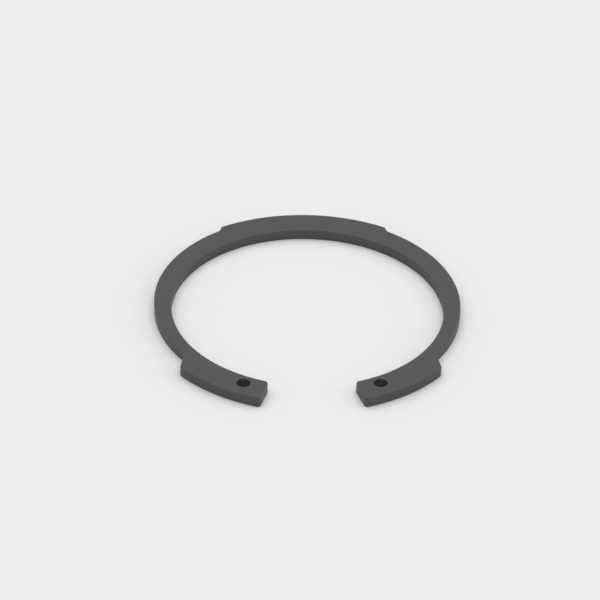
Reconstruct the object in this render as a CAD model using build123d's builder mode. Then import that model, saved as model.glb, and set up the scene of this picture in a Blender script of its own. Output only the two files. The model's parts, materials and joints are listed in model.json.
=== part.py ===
from build123d import *

import math
import os

os.makedirs("parts", exist_ok=True)

# Internal retaining ring, inverted pattern: an open ring stamped from spring steel strip.
# Its inner edge is one true circle about the origin, its arms taper from the back to the
# lugs, and three raised lands on its outer edge seat in the groove of a bore.
# Millimetres and degrees. +Z is up, the underside lies on Z = 0, the gap faces -Y and the
# back of the ring faces +Y.

# Stock and bore side
thickness = 1.75
inner_radius = 20.8

# Radial widths, all measured outwards from the inner edge
arm_width_at_back = 4.0
arm_width_at_gap = 1.28
back_land_height = 0.58
lug_width = 4.32

# Lands: where their outer corners stand, and how far their flanks lean from the radius
back_land_half_angle = 31.0
lug_land_half_angle = 50.0
back_flank_lean = 46.0
lug_flank_lean = 41.5

# Gap between the two lugs, measured each way from -Y
gap_half_angle = 17.7

# Plier holes
hole_diameter = 2.0
hole_to_inner_edge = 0.7
hole_to_end_face = 3.44

# Corner radii in plan
end_outer_corner = 0.5
end_inner_corner = 0.6
land_corner = 0.35
back_land_foot = 0.9
lug_land_foot = 1.1

# Edges: the punch rolls the upper edges over, and tumbling dulls the lower ones
rolled_edge = 0.2
dulled_edge = 0.1
hole_edge = 0.12

# Worked out from the sizes above. Both outer circles are set by their widths on the Y axis.
arm_back_reach = inner_radius + arm_width_at_back
arm_front_reach = inner_radius + arm_width_at_gap
arm_radius = (arm_back_reach + arm_front_reach) / 2
arm_centre = (0, arm_back_reach - arm_radius)
land_back_reach = arm_back_reach + back_land_height
land_front_reach = inner_radius + lug_width
land_radius = (land_back_reach + land_front_reach) / 2
land_centre = (0, land_back_reach - land_radius)
outside_radius = 2 * land_radius
hole_circle_radius = inner_radius + hole_to_inner_edge + hole_diameter / 2
hole_half_angle = gap_half_angle + math.degrees(math.asin(hole_to_end_face / hole_circle_radius))


def on_circle(radius, angle, centre=(0, 0)):
    """The point at a radius and an angle from +X about a centre."""
    x = centre[0] + radius * math.cos(math.radians(angle))
    y = centre[1] + radius * math.sin(math.radians(angle))
    return Vector(x, y)


def radial_point(angle, radius_about_centre, centre):
    """Where the ray from the origin at an angle meets a circle about a centre on the Y axis."""
    along = centre[1] * math.sin(math.radians(angle))
    across = centre[1] * math.cos(math.radians(angle))
    return on_circle(along + math.sqrt(radius_about_centre**2 - across**2), angle)


def land_side(axis_angle, half_angle, lean, hand):
    """Both ends of one leaning flank, carried past the land's foot and past its corner."""
    corner_angle = axis_angle + hand * half_angle
    corner = radial_point(corner_angle, land_radius, land_centre)
    outward = on_circle(1, corner_angle - hand * lean)
    depth = corner.length - radial_point(corner_angle, arm_radius, arm_centre).length
    foot = corner - outward * 1.5 * depth / math.cos(math.radians(lean))
    return foot, corner + outward * depth


def land_outline(axis_angle, half_angle, lean):
    """A wedge about an axis through the origin, open outwards, with two leaning flanks."""
    left_foot, left_tip = land_side(axis_angle, half_angle, lean, 1)
    right_foot, right_tip = land_side(axis_angle, half_angle, lean, -1)
    left_outside = on_circle(outside_radius, axis_angle + half_angle / 2)
    right_outside = on_circle(outside_radius, axis_angle - half_angle / 2)
    return (0, 0), right_foot, right_tip, right_outside, left_outside, left_tip, left_foot


def lies_on(radius, centre=(0, 0)):
    """A test that picks the vertices on a circle."""
    middle = Vector(*centre)
    return lambda vertex: abs((Vector(vertex.X, vertex.Y) - middle).length - radius) < 1e-4


def faces_back(vertex):
    """Whether a vertex is in the back half of the ring."""
    return vertex.Y > 0


def faces_gap(vertex):
    """Whether a vertex is in the half of the ring that has the gap."""
    return vertex.Y < 0


def is_on_end_face(vertex):
    """Whether a vertex is on one of the two radial end faces."""
    from_gap = math.degrees(math.atan2(abs(vertex.X), -vertex.Y))
    return abs(from_gap - gap_half_angle) < 1e-3


def is_on_land(vertex):
    """Whether a vertex is away from the end faces."""
    return not is_on_end_face(vertex)


def is_hole_rim(edge):
    """Whether a round edge is a full circle of the plier holes' size."""
    return edge.is_closed and abs(edge.radius - hole_diameter / 2) < 1e-6


def corners_that(*tests):
    """The corners of the outline so far that pass every test."""
    return ring_plan.vertices().filter_by(lambda vertex: all(test(vertex) for test in tests))


# The ring inside the land circle that the back land and the two lugs are cut from
with BuildSketch() as land_plan:
    with BuildLine():
        Polyline(*land_outline(90, back_land_half_angle, back_flank_lean), close=True)
    make_face()
    with BuildLine():
        Polyline(*land_outline(-90, lug_land_half_angle, lug_flank_lean), close=True)
    make_face()
    with Locations(land_centre):
        Circle(land_radius, mode=Mode.INTERSECT)

# The whole outline: tapering arms, lands, round opening, gap with radial end faces
with BuildSketch() as ring_plan:
    with Locations(arm_centre):
        Circle(arm_radius)
    add(land_plan.sketch)
    Circle(inner_radius, mode=Mode.SUBTRACT)
    with BuildLine():
        left_side = on_circle(outside_radius, -90 - gap_half_angle)
        right_side = on_circle(outside_radius, -90 + gap_half_angle)
        Polyline((0, 0), left_side, right_side, close=True)
    make_face(mode=Mode.SUBTRACT)
    fillet(corners_that(lies_on(arm_radius, arm_centre), faces_back), back_land_foot)
    fillet(corners_that(lies_on(arm_radius, arm_centre), faces_gap), lug_land_foot)
    fillet(corners_that(lies_on(land_radius, land_centre), is_on_land), land_corner)
    fillet(corners_that(lies_on(land_radius, land_centre), is_on_end_face), end_outer_corner)
    fillet(corners_that(lies_on(inner_radius), is_on_end_face), end_inner_corner)

with BuildPart() as retaining_ring:
    add(ring_plan.sketch)
    extrude(amount=thickness)
    left_hole = on_circle(hole_circle_radius, -90 - hole_half_angle)
    right_hole = on_circle(hole_circle_radius, -90 + hole_half_angle)
    with Locations(Plane.XY.offset(thickness)):
        with Locations(left_hole, right_hole):
            Hole(hole_diameter / 2)
    rims = retaining_ring.edges().filter_by(GeomType.CIRCLE).filter_by(is_hole_rim)
    fillet(rims, hole_edge)
    fillet(retaining_ring.faces().sort_by(Axis.Z)[-1].outer_wire().edges(), rolled_edge)
    fillet(retaining_ring.faces().sort_by(Axis.Z)[0].outer_wire().edges(), dulled_edge)

retaining_ring.part.label = "retaining_ring"
export_step(retaining_ring.part, "parts/retaining_ring.step")
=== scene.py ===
"""Internal retaining ring of phosphated spring steel, lying on a plain pale floor.

The ring is drawn as one closed outline of arcs and straight flanks, filled, raised to its
thickness and finished with a rolled upper edge and a dulled lower edge. All lengths are in
metres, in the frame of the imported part: the ring's axis is +Z, its back faces +Y and its gap
faces -Y.
"""

import json
import logging
import math
from dataclasses import dataclass
from enum import Enum

import bmesh
import bpy
from mathutils import Matrix, Vector
from mathutils.geometry import intersect_line_sphere_2d

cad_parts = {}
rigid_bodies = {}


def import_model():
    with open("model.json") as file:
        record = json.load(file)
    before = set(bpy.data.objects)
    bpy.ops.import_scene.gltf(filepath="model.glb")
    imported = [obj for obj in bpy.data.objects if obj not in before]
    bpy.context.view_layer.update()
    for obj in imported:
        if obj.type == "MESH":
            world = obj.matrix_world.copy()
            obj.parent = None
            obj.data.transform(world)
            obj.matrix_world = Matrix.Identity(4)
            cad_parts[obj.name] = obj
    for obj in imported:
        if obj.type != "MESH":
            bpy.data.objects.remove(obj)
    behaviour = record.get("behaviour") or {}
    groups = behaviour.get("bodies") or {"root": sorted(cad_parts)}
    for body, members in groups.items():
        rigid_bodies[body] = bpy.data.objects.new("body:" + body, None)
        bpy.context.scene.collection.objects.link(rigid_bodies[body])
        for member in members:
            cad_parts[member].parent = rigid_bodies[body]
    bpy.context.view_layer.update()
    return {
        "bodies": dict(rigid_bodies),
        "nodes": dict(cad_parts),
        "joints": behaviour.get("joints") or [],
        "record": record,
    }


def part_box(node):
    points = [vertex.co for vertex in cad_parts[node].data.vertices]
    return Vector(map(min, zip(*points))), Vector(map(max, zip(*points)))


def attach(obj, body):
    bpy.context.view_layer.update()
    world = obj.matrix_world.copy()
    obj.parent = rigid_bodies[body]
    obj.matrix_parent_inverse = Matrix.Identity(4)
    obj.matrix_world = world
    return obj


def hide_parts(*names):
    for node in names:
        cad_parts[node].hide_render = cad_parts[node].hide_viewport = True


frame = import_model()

MM = 0.001
RING_NODE = "retaining_ring"
STEEL_SLOT = "phosphated_spring_steel"
UP = Vector((0.0, 0.0, 1.0))
NOISE_LOW, NOISE_HIGH = 0.3, 0.7
LOG = logging.getLogger("ring_scene")


class MeshMark(Enum):
    """Names of the values that the ring's mesh carries at its points for its finish."""

    EDGE_WEAR = "edge_wear"
    CUT_WALL = "cut_wall"


@dataclass(frozen=True)
class RingPlan:
    """Plan sizes of the ring, in millimetres and degrees, seen from above.

    Both outer circles are centred on the Y axis: each is set by how far it reaches at the
    back and at the gap.
    """

    inner_radius: float
    arm_radius: float
    back_reach: float
    thickness: float
    hole_radius: float
    hole_centre: Vector
    arm_width_at_back: float = 4.0
    lug_width: float = 4.32
    gap_half_angle: float = 17.7
    lug_land_half_angle: float = 50.0
    back_land_half_angle: float = 31.0
    lug_flank_lean: float = 41.5
    back_flank_lean: float = 46.0
    end_outer_corner: float = 0.5
    end_inner_corner: float = 0.6
    land_corner: float = 0.35
    back_land_foot: float = 0.9
    lug_land_foot: float = 1.1

    @classmethod
    def from_frame(cls, packed: dict) -> "RingPlan":
        """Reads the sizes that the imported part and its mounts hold.


        Returns:
            The plan, with every other size at its own value.
        """
        low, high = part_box(RING_NODE)
        mounts = {mount["name"]: mount for mount in packed["record"]["mounts"]}
        holes = mounts["plier_holes"]
        return cls(
            inner_radius=mounts["inner_bore"]["dims"]["r_mm"],
            arm_radius=(high.x - low.x) / 2 / MM,
            back_reach=high.y / MM,
            thickness=(high.z - low.z) / MM,
            hole_radius=holes["dims"]["hole_r_mm"],
            hole_centre=Vector((holes["dims"]["spacing_x_mm"] / 2, holes["pos_m"][1] / MM, 0.0)),
        )

    @property
    def arm_centre(self) -> Vector:
        """Centre of the circle that the arms' outer edges follow."""
        return Vector((0.0, self.inner_radius + self.arm_width_at_back - self.arm_radius, 0.0))

    @property
    def land_radius(self) -> float:
        """Radius of the circle that the three lands lie on."""
        return (self.back_reach + self.inner_radius + self.lug_width) / 2

    @property
    def land_centre(self) -> Vector:
        """Centre of the circle that the three lands lie on."""
        return Vector((0.0, self.back_reach - self.land_radius, 0.0))

    def ray(self, from_gap: float) -> Vector:
        """Points out from the ring's axis on its right side.

        Args:
            from_gap: the angle from the gap, in degrees.

        Returns:
            The unit vector.
        """
        angle = math.radians(from_gap)
        return Vector((math.sin(angle), -math.cos(angle), 0.0))

    def on_ray(self, from_gap: float, radius: float, centre: Vector) -> Vector:
        """Finds where a ray from the origin meets a circle.

        Args:
            from_gap: the ray's angle from the gap, in degrees.
            radius: the circle's radius.
            centre: the circle's centre.

        Returns:
            The point, at height zero.
        """
        return self._meet(Vector(), self.ray(from_gap) * 2 * radius, radius, centre)

    def flank_foot(self, corner: Vector, from_gap: float, lean: float) -> Vector:
        """Finds where a land's leaning flank meets the arm's outer circle.

        Args:
            corner: the flank's outer end, on the land circle.
            from_gap: the corner's angle from the gap, in degrees.
            lean: how far the flank turns from the radius, in degrees, positive towards the gap.

        Returns:
            The foot of the flank.
        """
        inward = -self.ray(from_gap - lean)
        return self._meet(corner + inward * self.lug_width, corner, self.arm_radius, self.arm_centre)

    def _meet(self, start: Vector, end: Vector, radius: float, centre: Vector) -> Vector:
        """Finds the crossing of a line and a circle that is nearest to the line's end.

        Args:
            start: the line's first point.
            end: the line's last point.
            radius: the circle's radius.
            centre: the circle's centre.

        Returns:
            The crossing, at height zero.
        """
        hits = intersect_line_sphere_2d(start.xy, end.xy, centre.xy, radius, True)
        found = [hit for hit in hits if hit is not None]
        return max(found, key=lambda hit: (hit - start.xy).length).to_3d()


@dataclass(frozen=True)
class EdgeRound:
    """A rounded rim, in millimetres: how far it reaches in from the wall and along it."""

    inset: float
    drop: float
    facets: int = 6

    def steps(self) -> list[tuple[float, float]]:
        """Splits the rounding into its facets, from the wall to the flat face.

        Returns:
            Each facet's inset and rise.
        """
        turns = [math.radians(90.0 * step / self.facets) for step in range(self.facets + 1)]
        return [
            (self.inset * (math.cos(a) - math.cos(b)), self.drop * (math.sin(b) - math.sin(a)))
            for a, b in zip(turns, turns[1:])
        ]


@dataclass(frozen=True)
class PhosphatedSteel:
    """Matte dark grey of oiled phosphate on spring steel, thinner where tumbling rubbed it."""

    coat: tuple[float, float, float] = (0.081, 0.078, 0.079)
    rubbed: tuple[float, float, float] = (0.095, 0.092, 0.093)
    mottle: float = 0.16
    roughness: float = 0.52
    roughness_swing: float = 0.05
    metallic: float = 0.35
    cloud_size: float = 2.6 * MM
    grain_size: float = 0.09 * MM
    grain_depth: float = 0.006 * MM
    grain_share: float = 0.45
    least_rubbing: float = 0.55
    streak_width: float = 0.12 * MM
    streak_squeeze: float = 0.08

    def material(self) -> bpy.types.Material:
        """Builds the finish on object coordinates and the mesh's own marks.

        Returns:
            The material.
        """
        graph = NodeGraph(STEEL_SLOT)
        place = graph.add("ShaderNodeTexCoord").outputs["Object"]
        wear = graph.mark(MeshMark.EDGE_WEAR)
        wall = graph.mark(MeshMark.CUT_WALL)

        cloud = graph.noise(place, size=self.cloud_size, detail=3.0)
        grain = graph.noise(place, size=self.grain_size, detail=2.0)
        streak_place = graph.add("ShaderNodeMapping", Vector=place)
        streak_place.inputs["Scale"].default_value = (1.0, 1.0, self.streak_squeeze)
        streaks = graph.noise(streak_place.outputs["Vector"], size=self.streak_width, detail=2.0)

        tone = graph.blend_values(cloud, grain, self.grain_share)
        tone_share = graph.remap(tone, NOISE_LOW, NOISE_HIGH, -self.mottle, self.mottle)
        rubbed_patches = graph.remap(grain, 0.35, 0.65, self.least_rubbing, 1.0)
        rubbing = graph.math("MULTIPLY", wear, rubbed_patches)
        light_share = graph.math("ADD", rubbing, tone_share)
        colour = graph.blend_colours(self.coat, self.rubbed, light_share)

        smoothest, roughest = self.roughness - self.roughness_swing, self.roughness + self.roughness_swing
        rough = graph.remap(tone, NOISE_LOW, NOISE_HIGH, smoothest, roughest)
        relief = graph.blend_values(grain, streaks, wall)
        bump = graph.add("ShaderNodeBump", Height=relief)
        bump.inputs["Strength"].default_value = 1.0
        bump.inputs["Distance"].default_value = self.grain_depth

        shader = graph.shader
        shader.inputs["Metallic"].default_value = self.metallic
        graph.link(colour, shader.inputs["Base Color"])
        graph.link(rough, shader.inputs["Roughness"])
        graph.link(bump.outputs["Normal"], shader.inputs["Normal"])
        return graph.material


@dataclass(frozen=True)
class PalePaper:
    """Plain matte sweep that the ring lies on."""

    colour: tuple[float, float, float] = (0.895, 0.898, 0.9)
    roughness: float = 0.9

    def material(self) -> bpy.types.Material:
        """Builds the plain floor material.

        Returns:
            The material.
        """
        graph = NodeGraph("pale_paper")
        graph.shader.inputs["Base Color"].default_value = (*self.colour, 1.0)
        graph.shader.inputs["Roughness"].default_value = self.roughness
        graph.shader.inputs["Specular IOR Level"].default_value = 0.0
        return graph.material


class NodeGraph:
    """A material's node tree with one main shader, and short ways to add to it."""

    def __init__(self, name: str) -> None:
        """Makes the material and clears it down to its shader and output.

        Args:
            name: the material's name.
        """
        self.material = bpy.data.materials.new(name)
        self.material.use_nodes = True
        self.nodes = self.material.node_tree.nodes
        self.links = self.material.node_tree.links
        self.nodes.clear()
        self.shader = self.nodes.new("ShaderNodeBsdfPrincipled")
        output = self.nodes.new("ShaderNodeOutputMaterial")
        self.link(self.shader.outputs["BSDF"], output.inputs["Surface"])

    def link(self, source: bpy.types.NodeSocket, target: bpy.types.NodeSocket) -> None:
        """Joins an output to an input.

        Args:
            source: the output.
            target: the input that it feeds.
        """
        self.links.new(source, target)

    def add(self, kind: str, **sources: bpy.types.NodeSocket) -> bpy.types.Node:
        """Adds a node and links its named inputs.

        Args:
            kind: the node's type.
            sources: for each input's name, the output that feeds it.

        Returns:
            The node.
        """
        node = self.nodes.new(kind)
        for name, source in sources.items():
            self.link(source, node.inputs[name])
        return node

    def mark(self, mark: MeshMark) -> bpy.types.NodeSocket:
        """Adds the value that the mesh carries under a name.

        Args:
            mark: which of the mesh's values it is.

        Returns:
            The value.
        """
        node = self.add("ShaderNodeAttribute")
        node.attribute_name = mark.value
        return node.outputs["Fac"]

    def noise(self, place: bpy.types.NodeSocket, size: float, detail: float) -> bpy.types.NodeSocket:
        """Adds a noise pattern.

        Args:
            place: the coordinates it reads.
            size: the width of its largest blots.
            detail: how many finer layers it has.

        Returns:
            The pattern, from 0 to 1 about 0.5.
        """
        node = self.add("ShaderNodeTexNoise", Vector=place)
        node.inputs["Scale"].default_value = 1.0 / size
        node.inputs["Detail"].default_value = detail
        return node.outputs["Fac"]

    def math(self, operation: str, *sources: bpy.types.NodeSocket) -> bpy.types.NodeSocket:
        """Adds a sum, product or other operation on linked values.

        Args:
            operation: what is done with the values.
            sources: the values, in order.

        Returns:
            The operation's outcome.
        """
        node = self.add("ShaderNodeMath")
        node.operation = operation
        for slot, source in enumerate(sources):
            self.link(source, node.inputs[slot])
        return node.outputs["Value"]

    def remap(
        self, source: bpy.types.NodeSocket, low: float, high: float, to_low: float, to_high: float
    ) -> bpy.types.NodeSocket:
        """Adds a straight, clamped change of range.

        Args:
            source: the value that is changed.
            low: the value that turns into to_low.
            high: the value that turns into to_high.
            to_low: the new range's first end.
            to_high: the new range's second end.

        Returns:
            The changed value.
        """
        node = self.add("ShaderNodeMapRange", Value=source)
        node.inputs["From Min"].default_value = low
        node.inputs["From Max"].default_value = high
        node.inputs["To Min"].default_value = to_low
        node.inputs["To Max"].default_value = to_high
        return node.outputs["Result"]

    def blend_values(
        self, first: bpy.types.NodeSocket, second: bpy.types.NodeSocket, share: float | bpy.types.NodeSocket
    ) -> bpy.types.NodeSocket:
        """Adds a mix of two values.

        Args:
            first: the value at a share of 0.
            second: the value at a share of 1.
            share: how much of the second is in the mix, fixed or linked.

        Returns:
            The mix.
        """
        node = self.add("ShaderNodeMix")
        node.data_type = "FLOAT"
        self.link(first, node.inputs["A"])
        self.link(second, node.inputs["B"])
        if isinstance(share, float):
            node.inputs["Factor"].default_value = share
        else:
            self.link(share, node.inputs["Factor"])
        return node.outputs["Result"]

    def blend_colours(
        self,
        first: tuple[float, float, float],
        second: tuple[float, float, float],
        share: bpy.types.NodeSocket,
    ) -> bpy.types.NodeSocket:
        """Adds a mix of two plain colours, carried past both ends by a share outside 0 to 1.

        Args:
            first: the colour at a share of 0.
            second: the colour at a share of 1.
            share: how much of the second is in the mix.

        Returns:
            The mixed colour.
        """
        node = self.add("ShaderNodeMix")
        node.data_type = "RGBA"
        node.clamp_factor = False
        colours = [socket for socket in node.inputs if socket.type == "RGBA"]
        colours[0].default_value = (*first, 1.0)
        colours[1].default_value = (*second, 1.0)
        self.link(share, node.inputs["Factor"])
        return next(socket for socket in node.outputs if socket.type == "RGBA")


@dataclass
class RetainingRing:
    """The open ring with its lands, lugs and plier holes.

    It is drawn in millimetres and scaled to metres when its shape is done.
    """

    plan: RingPlan
    finish: PhosphatedSteel
    rolled: EdgeRound = EdgeRound(inset=0.20, drop=0.20)
    dulled: EdgeRound = EdgeRound(inset=0.10, drop=0.10, facets=4)
    wear_reach: float = 0.11
    lower_wall_wear: float = 0.6
    arc_step: float = 1.1
    corner_facets: int = 8
    hole_facets: int = 64

    def build(self) -> bpy.types.Object:
        """Models and dresses the ring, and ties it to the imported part.

        Returns:
            The ring's object.
        """
        mesh = bmesh.new()
        self._draw_right_half(mesh)
        self._mirror_outline(mesh)
        self._raise_body(mesh)
        bmesh.ops.scale(mesh, vec=Vector((MM, MM, MM)), verts=mesh.verts[:])
        data = bpy.data.meshes.new(RING_NODE + "_surface")
        mesh.to_mesh(data)
        mesh.free()
        data.materials.append(self.finish.material())
        piece = bpy.data.objects.new(RING_NODE + "_surface", data)
        bpy.context.scene.collection.objects.link(piece)
        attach(piece, "root")
        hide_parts(RING_NODE)
        return piece

    def _draw_right_half(self, mesh: bmesh.types.BMesh) -> None:
        """Draws the right half of the outline, from the inner edge at the back round to the land.

        Args:
            mesh: the empty mesh that is drawn in.
        """
        plan = self.plan
        land = (plan.land_radius, plan.land_centre)
        gap, lug, back = plan.gap_half_angle, plan.lug_land_half_angle, 180.0 - plan.back_land_half_angle
        lug_corner = plan.on_ray(lug, *land)
        back_corner = plan.on_ray(back, *land)
        lug_foot = plan.flank_foot(lug_corner, lug, plan.lug_flank_lean)
        back_foot = plan.flank_foot(back_corner, back, -plan.back_flank_lean)

        inner_back = mesh.verts.new((0.0, plan.inner_radius, 0.0))
        inner_end = self._sweep(mesh, inner_back, plan.ray(gap) * plan.inner_radius, Vector())
        outer_end = self._draw_to(mesh, inner_end, plan.on_ray(gap, *land))
        lug_tip = self._sweep(mesh, outer_end, lug_corner, plan.land_centre)
        lug_root = self._draw_to(mesh, lug_tip, lug_foot)
        back_root = self._sweep(mesh, lug_root, back_foot, plan.arm_centre)
        back_tip = self._draw_to(mesh, back_root, back_corner)
        self._sweep(mesh, back_tip, Vector((0.0, plan.back_reach, 0.0)), plan.land_centre)

        self._round_corner(mesh, inner_end, plan.end_inner_corner)
        self._round_corner(mesh, outer_end, plan.end_outer_corner)
        self._round_corner(mesh, lug_tip, plan.land_corner)
        self._round_corner(mesh, lug_root, plan.lug_land_foot)
        self._round_corner(mesh, back_root, plan.back_land_foot)
        self._round_corner(mesh, back_tip, plan.land_corner)
        bmesh.ops.create_circle(
            mesh,
            cap_ends=False,
            segments=self.hole_facets,
            radius=plan.hole_radius,
            matrix=Matrix.Translation(plan.hole_centre),
        )

    def _sweep(
        self, mesh: bmesh.types.BMesh, start: bmesh.types.BMVert, end: Vector, centre: Vector
    ) -> bmesh.types.BMVert:
        """Draws an arc by spinning a point about a centre.

        Args:
            mesh: the mesh that is drawn in.
            start: the arc's first point.
            end: where the arc ends, at the same distance from the centre.
            centre: the arc's centre.

        Returns:
            The arc's last point.
        """
        first, last = start.co - centre, end - centre
        turn = last.xy.angle_signed(first.xy)
        steps = max(3, round(abs(turn) * first.length / self.arc_step))
        spun = bmesh.ops.spin(
            mesh, geom=[start], cent=centre, axis=UP, angle=turn, steps=steps, use_merge=False
        )
        return next(part for part in spun["geom_last"] if isinstance(part, bmesh.types.BMVert))

    def _draw_to(
        self, mesh: bmesh.types.BMesh, start: bmesh.types.BMVert, end: Vector
    ) -> bmesh.types.BMVert:
        """Draws a straight line by extruding a point.

        Args:
            mesh: the mesh that is drawn in.
            start: the line's first point.
            end: where the line ends.

        Returns:
            The line's last point.
        """
        drawn = bmesh.ops.extrude_vert_indiv(mesh, verts=[start])["verts"][0]
        drawn.co = end
        return drawn

    def _round_corner(self, mesh: bmesh.types.BMesh, corner: bmesh.types.BMVert, radius: float) -> None:
        """Rounds a corner of the outline to a radius.

        Args:
            mesh: the mesh that holds the outline.
            corner: the corner, where two lines meet.
            radius: the radius of the arc that replaces it.
        """
        ways = [edge.other_vert(corner).co - corner.co for edge in corner.link_edges]
        turn = math.pi - ways[0].angle(ways[1])
        bmesh.ops.bevel(
            mesh,
            geom=[corner],
            offset=radius * math.tan(turn / 2),
            offset_type="OFFSET",
            affect="VERTICES",
            segments=self.corner_facets,
            profile=0.5,
            material=-1,
            clamp_overlap=True,
        )

    def _mirror_outline(self, mesh: bmesh.types.BMesh) -> None:
        """Mirrors the right half across the YZ plane and joins both halves.

        Args:
            mesh: the mesh that holds the right half.
        """
        bmesh.ops.mirror(
            mesh,
            geom=mesh.verts[:] + mesh.edges[:],
            matrix=Matrix.Identity(4),
            merge_dist=0.001,
            axis="X",
        )

    def _raise_body(self, mesh: bmesh.types.BMesh) -> None:
        """Fills the outline and gives it walls, rounded rims and flat faces.

        Args:
            mesh: the mesh that holds the whole outline.
        """
        wear = mesh.verts.layers.float.new(MeshMark.EDGE_WEAR.value)
        wall = mesh.verts.layers.float.new(MeshMark.CUT_WALL.value)
        plan = self.plan
        bmesh.ops.triangle_fill(mesh, edges=mesh.edges[:], use_beauty=True, normal=UP)
        lower = mesh.faces[:]
        self._lift(lower, self.dulled.drop)
        upper = lower
        levels = [
            (self.dulled.drop + self.wear_reach, 0.0),
            (plan.thickness - self.rolled.drop - self.wear_reach, 0.0),
            (plan.thickness - self.rolled.drop, 1.0),
        ]
        for vert in self._verts(lower):
            vert[wall] = 1.0
            vert[wear] = self.lower_wall_wear
        for height, level_wear in levels:
            upper = self._extrude(mesh, upper, height, keep=upper is lower)
            for vert in self._verts(upper):
                vert[wear] = level_wear
                vert[wall] = 1.0
        self._round_rim(mesh, upper, self.rolled, 1.0, wear, wall)
        bmesh.ops.recalc_face_normals(mesh, faces=mesh.faces[:])
        self._round_rim(mesh, lower, self.dulled, -1.0, wear, wall)
        bmesh.ops.recalc_face_normals(mesh, faces=mesh.faces[:])
        for face in mesh.faces:
            face.smooth = True

    def _extrude(
        self, mesh: bmesh.types.BMesh, faces: list[bmesh.types.BMFace], height: float, keep: bool
    ) -> list[bmesh.types.BMFace]:
        """Raises a copy of a flat region on new walls.

        Args:
            mesh: the mesh that holds the region.
            faces: the flat region.
            height: the height that the copy is raised to.
            keep: whether the region stays as the underside.

        Returns:
            The raised region.
        """
        made = bmesh.ops.extrude_face_region(mesh, geom=faces, use_keep_orig=keep)["geom"]
        raised = [part for part in made if isinstance(part, bmesh.types.BMFace)]
        for vert in self._verts(raised):
            vert.co.z = height
        if not keep:
            stale = [face for face in faces if face.is_valid]
            bmesh.ops.delete(mesh, geom=stale, context="FACES_ONLY")
        return raised

    def _round_rim(
        self,
        mesh: bmesh.types.BMesh,
        faces: list[bmesh.types.BMFace],
        rim: EdgeRound,
        way: float,
        wear: bmesh.types.BMLayerItem,
        wall: bmesh.types.BMLayerItem,
    ) -> None:
        """Rounds the rim of a flat region by insetting it step by step, holes included.

        Args:
            mesh: the mesh that holds the region.
            faces: the flat region.
            rim: the rounding's sizes.
            way: 1 to rise with each step, -1 to sink.
            wear: the layer that marks rubbed edges.
            wall: the layer that marks cut walls.
        """
        for inset, rise in rim.steps():
            self._inset(mesh, faces, inset)
            for vert in self._verts(faces):
                vert.co.z += way * rise
                vert[wear] = 1.0
                vert[wall] = 0.0
        self._inset(mesh, faces, self.wear_reach)
        for vert in self._verts(faces):
            vert[wear] = 0.0

    def _inset(self, mesh: bmesh.types.BMesh, faces: list[bmesh.types.BMFace], width: float) -> None:
        """Insets a region evenly, keeping its faces as the middle.

        Args:
            mesh: the mesh that holds the region.
            faces: the region.
            width: how far its edge moves in.
        """
        bmesh.ops.inset_region(
            mesh, faces=faces, thickness=width, use_even_offset=True, use_boundary=True
        )

    def _lift(self, faces: list[bmesh.types.BMFace], height: float) -> None:
        """Moves a region up.

        Args:
            faces: the region.
            height: how far it moves.
        """
        for vert in self._verts(faces):
            vert.co.z += height

    @staticmethod
    def _verts(faces: list[bmesh.types.BMFace]) -> set[bmesh.types.BMVert]:
        """Gathers the points of some faces.

        Args:
            faces: the faces.

        Returns:
            Their points, each once.
        """
        return {vert for face in faces for vert in face.verts}


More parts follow.
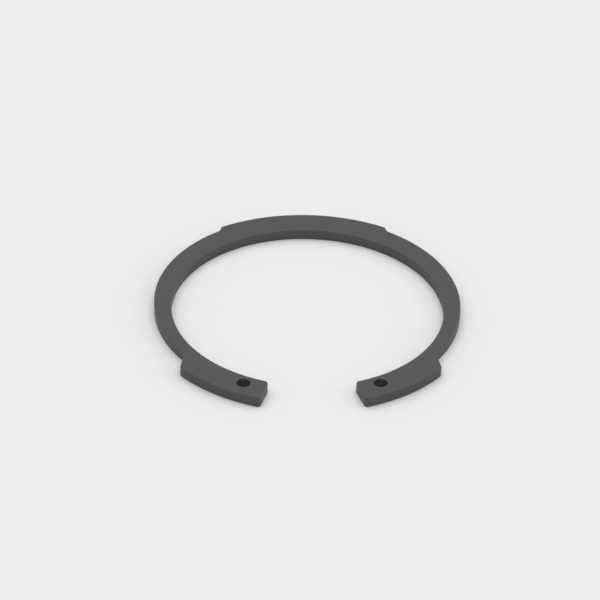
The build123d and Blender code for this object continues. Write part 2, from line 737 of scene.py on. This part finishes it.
@dataclass
class Studio:
    """The plain floor, the soft lights and the camera."""

    paper: PalePaper
    floor_reach: float = 60.0
    floor_gap: float = 0.01 * MM
    background: tuple[float, float, float] = (0.868, 0.868, 0.873)
    sky_strength: float = 0.58
    key_strength: float = 1.1
    key_spread: float = 75.0
    key_place: tuple[float, float, float] = (-0.03, 0.14, 0.66)
    side_strength: float = 0.27
    side_spread: float = 35.0
    side_place: tuple[float, float, float] = (0.55, -0.05, 0.22)
    elevation: float = 34.5
    swing: float = 2.6
    roll: float = -1.6
    distance: float = 385.2 * MM
    lens: float = 149.9
    target: tuple[float, float, float] = (-1.19 * MM, 3.58 * MM, 0.0)

    def build(self) -> None:
        """Makes the floor, the world, the lights and the camera."""
        self._lay_floor()
        self._light_world()
        self._hang_light("key", self.key_place, self.key_spread, self.key_strength)
        self._hang_light("side", self.side_place, self.side_spread, self.side_strength)
        self._place_camera()
        bpy.context.scene.view_settings.view_transform = "Standard"

    def _lay_floor(self) -> None:
        """Lays a wide flat sheet just under the ring."""
        mesh = bmesh.new()
        bmesh.ops.create_grid(mesh, x_segments=1, y_segments=1, size=self.floor_reach)
        data = bpy.data.meshes.new("floor")
        mesh.to_mesh(data)
        mesh.free()
        data.materials.append(self.paper.material())
        floor = bpy.data.objects.new("floor", data)
        floor.location.z = -self.floor_gap
        bpy.context.scene.collection.objects.link(floor)

    def _light_world(self) -> None:
        """Gives the world its even light, and the pale colour that the camera sees."""
        world = bpy.data.worlds.new("studio")
        world.use_nodes = True
        bpy.context.scene.world = world
        nodes, links = world.node_tree.nodes, world.node_tree.links
        nodes.clear()
        even = nodes.new("ShaderNodeBackground")
        even.inputs["Color"].default_value = (1.0, 1.0, 1.0, 1.0)
        even.inputs["Strength"].default_value = self.sky_strength
        seen = nodes.new("ShaderNodeBackground")
        seen.inputs["Color"].default_value = (*self.background, 1.0)
        path = nodes.new("ShaderNodeLightPath")
        mix = nodes.new("ShaderNodeMixShader")
        output = nodes.new("ShaderNodeOutputWorld")
        links.new(path.outputs["Is Camera Ray"], mix.inputs["Fac"])
        links.new(even.outputs["Background"], mix.inputs[1])
        links.new(seen.outputs["Background"], mix.inputs[2])
        links.new(mix.outputs["Shader"], output.inputs["Surface"])

    def _hang_light(
        self, name: str, place: tuple[float, float, float], spread: float, strength: float
    ) -> None:
        """Hangs a soft lamp that lights the whole floor evenly from one side.

        Args:
            name: the lamp's name.
            place: where it hangs, which sets the way that its light comes from.
            spread: how wide it looks from the ring, in degrees.
            strength: its light on a surface that faces it, in watts per square metre.
        """
        lamp = bpy.data.lights.new(name, "SUN")
        lamp.angle = math.radians(spread)
        lamp.energy = strength
        hung = bpy.data.objects.new(name, lamp)
        hung.location = place
        hung.rotation_euler = Vector(place).to_track_quat("Z", "Y").to_euler()
        bpy.context.scene.collection.objects.link(hung)

    def _place_camera(self) -> None:
        """Sets up the camera over the gap side, looking down at the ring."""
        tilt, turn = math.radians(self.elevation), Matrix.Rotation(math.radians(-self.swing), 3, "Z")
        right = turn @ Vector((1.0, 0.0, 0.0))
        up = turn @ Vector((0.0, math.sin(tilt), math.cos(tilt)))
        forward = turn @ Vector((0.0, math.cos(tilt), -math.sin(tilt)))
        lean = math.radians(self.roll)
        across = right * math.cos(lean) - up * math.sin(lean)
        over = right * math.sin(lean) + up * math.cos(lean)
        place = turn @ Vector(self.target) - forward * self.distance
        camera = bpy.data.objects.new("camera", bpy.data.cameras.new("camera"))
        camera.data.lens = self.lens
        camera.data.clip_start = 0.01
        camera.data.clip_end = 4 * self.floor_reach
        axes = Matrix((across, over, -forward)).transposed().to_4x4()
        camera.matrix_world = Matrix.Translation(place) @ axes
        bpy.context.scene.collection.objects.link(camera)
        bpy.context.scene.camera = camera


def main() -> None:
    """Builds the ring and the studio, and reports each piece."""
    logging.basicConfig(level=logging.INFO, format="%(message)s")
    ring = RetainingRing(RingPlan.from_frame(frame), PhosphatedSteel()).build()
    LOG.info("%s: %d faces", ring.name, len(ring.data.polygons))
    Studio(PalePaper()).build()
    LOG.info("studio: floor, two lamps and camera")


if __name__ == "__main__":
    main()
